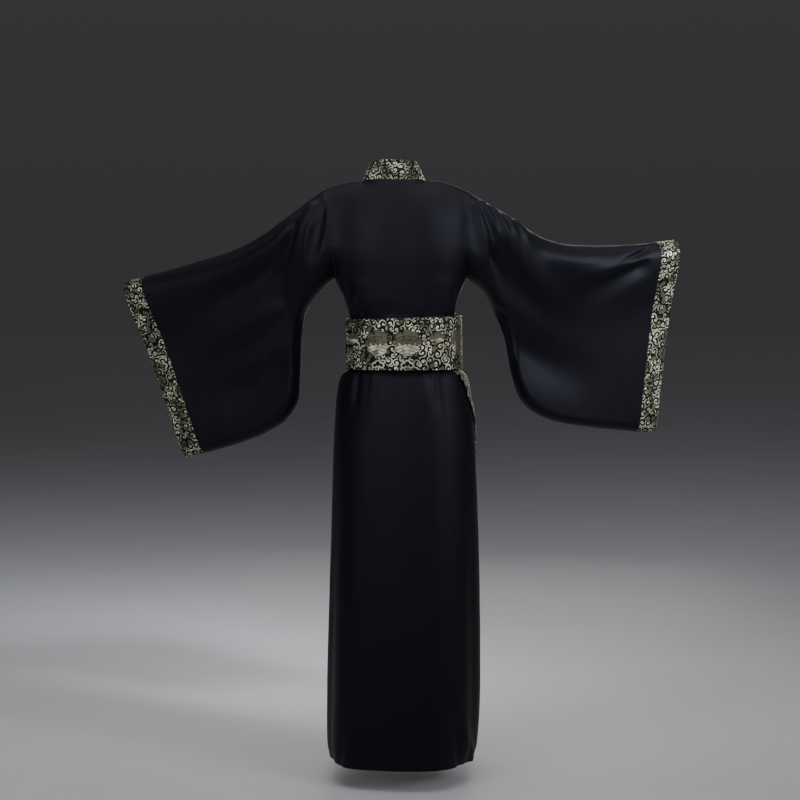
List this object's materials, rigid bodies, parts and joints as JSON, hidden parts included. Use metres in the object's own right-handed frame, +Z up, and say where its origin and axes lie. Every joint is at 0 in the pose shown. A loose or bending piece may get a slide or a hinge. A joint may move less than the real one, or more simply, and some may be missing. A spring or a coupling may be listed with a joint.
{
  "type": "hanfu robe",
  "caption": "Full-length black satin hanfu robe with wide sleeves, brocade collar bands, cuffs and a wide belt, in its worn, hollow form.",
  "frame": {"origin": "the middle of the neck opening, level with the tops of the shoulders, where the wearer's shoulders hold the robe up", "axes": "+Z up, -Y towards the front of the robe, +X towards the wearer's left"},
  "size_m": [1.4569, 0.4662, 1.4959],
  "materials": {
    "black_satin": "satin",
    "gold_brocade": "metallic brocade"
  },
  "bodies": {
    "root": {"back_panel": "black_satin", "left_front": "black_satin", "right_front": "black_satin", "left_sleeve_back": "black_satin", "left_sleeve_front": "black_satin", "right_sleeve_back": "black_satin", "right_sleeve_front": "black_satin", "left_cuff": "gold_brocade", "right_cuff": "gold_brocade", "collar_band": "gold_brocade", "left_skirt_band": "gold_brocade", "right_skirt_band": "gold_brocade", "belt": "gold_brocade"}
  },
  "joints": []
}
